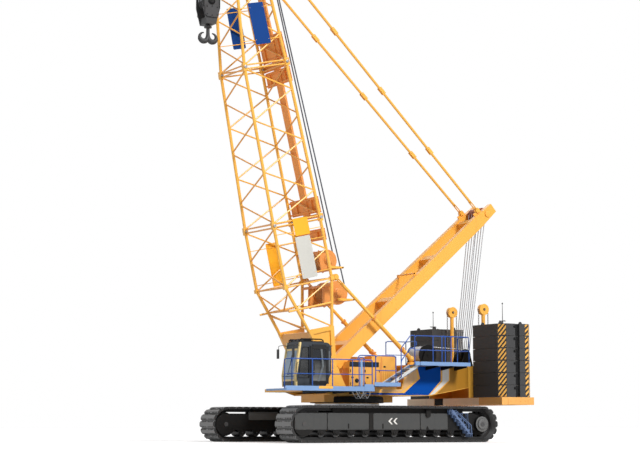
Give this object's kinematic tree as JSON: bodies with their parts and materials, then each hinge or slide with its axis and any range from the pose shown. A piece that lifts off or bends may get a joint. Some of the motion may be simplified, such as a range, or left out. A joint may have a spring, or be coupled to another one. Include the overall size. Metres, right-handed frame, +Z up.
{
  "type": "crawler crane",
  "caption": "Crawler crane with lattice boom, luffing mast, pendants, hook block, operator cab with sliding door, walkways and stacked rear counterweights on wide tracks.",
  "frame": {"origin": "on the ground under the middle of the crane's overall box", "axes": "+X to the crane's front, +Y to its left (the cab's side), +Z up"},
  "size_m": [13.6769, 7.46, 21.5662],
  "materials": {
    "track_steel": "worn black",
    "running_gear": "dark grey paint",
    "dark_frame": "satin dark grey",
    "bare_steel": "machined",
    "blue_paint": "satin",
    "yellow_paint": "gloss",
    "orange_paint": "gloss",
    "ballast_grey": "satin",
    "sheave_red": "satin",
    "cab_grey": "satin",
    "cab_cream": "gloss",
    "cab_black": "gloss",
    "glass": "clear grey",
    "seat_cloth": "woven",
    "rope_steel": "stranded",
    "hook_grey": "dark paint"
  },
  "bodies": {
    "undercarriage": {"track_left": "track_steel", "track_right": "track_steel", "side_frame_left": "dark_frame", "side_frame_right": "dark_frame", "idlers": "running_gear", "sprockets": "running_gear", "lower_rollers": "running_gear", "carrier_rollers": "running_gear", "carbody": "dark_frame", "slewing_ring": "bare_steel", "access_steps": "blue_paint"},
    "superstructure": {"turntable_frame": "yellow_paint", "foot_pins": "bare_steel", "machinery_housing": "yellow_paint", "engine_housing": "yellow_paint", "engine_block": "dark_frame", "walkways": "blue_paint", "railings": "blue_paint", "platform_ladder": "blue_paint", "counterweight_tray": "yellow_paint", "counterweight_left": "ballast_grey", "counterweight_right": "ballast_grey", "lifting_posts": "yellow_paint", "luffing_winch": "orange_paint", "luffing_block": "sheave_red", "cab_floor": "cab_grey", "cab_left_side": "cab_grey", "cab_right_side": "cab_grey", "cab_front_wall": "cab_cream", "cab_rear_wall": "cab_grey", "cab_roof": "cab_grey", "cab_glass": "glass", "cab_seat": "seat_cloth", "cab_lamps": "cab_black"},
    "cab_door": {"cab_door": "cab_black", "cab_door_glass": "glass"},
    "boom": {"boom_butt": "yellow_paint", "butt_lacing": "yellow_paint", "boom_insert": "yellow_paint", "insert_lacing": "yellow_paint", "boom_head": "yellow_paint", "head_lacing": "yellow_paint", "boom_catwalk": "orange_paint", "lower_winch": "orange_paint", "upper_winch": "orange_paint", "pendants": "yellow_paint", "backstops": "yellow_paint"},
    "mast": {"mast": "yellow_paint", "mast_sheaves": "sheave_red"},
    "head_sheaves": {"head_sheaves": "sheave_red", "hoist_ropes": "rope_steel"},
    "hook_block": {"hook_block": "hook_grey"},
    "hook": {"ramshorn_hook": "hook_grey"}
  },
  "joints": [
    {"name": "slew", "type": "hinge", "parent": "undercarriage", "child": "superstructure", "pos_m": [0.13234, 0, 1.5], "axis": [0, 0, 1], "continuous": true},
    {"name": "boom_luff", "type": "hinge", "parent": "superstructure", "child": "boom", "pos_m": [1.54234, 0, 2.73], "axis": [0, -1, 0], "range_deg": [-47.3, 0]},
    {"name": "mast_luff", "type": "hinge", "parent": "superstructure", "child": "mast", "pos_m": [1.54234, 0, 2.73], "axis": [0, -1, 0], "range_deg": [-47.3, 0]},
    {"name": "head_level", "type": "hinge", "parent": "boom", "child": "head_sheaves", "pos_m": [6.46796, 0, 20.5839], "axis": [0, -1, 0], "range_deg": [0, 47.3]},
    {"name": "hoist", "type": "slide", "parent": "head_sheaves", "child": "hook_block", "axis": [0, 0, -1], "range_m": [-2.2, 13.4], "deforming": ["hoist_ropes"]},
    {"name": "hook_swivel", "type": "hinge", "parent": "hook_block", "child": "hook", "pos_m": [6.46796, 0, 16], "axis": [0, 0, 1], "continuous": true},
    {"name": "door_slide", "type": "slide", "parent": "superstructure", "child": "cab_door", "axis": [-1, 0, 0], "range_m": [0, 0.64]}
  ],
  "couplings": [
    {"joint": "mast_luff", "follows": "boom_luff", "ratio": 1},
    {"joint": "head_level", "follows": "boom_luff", "ratio": -1}
  ]
}
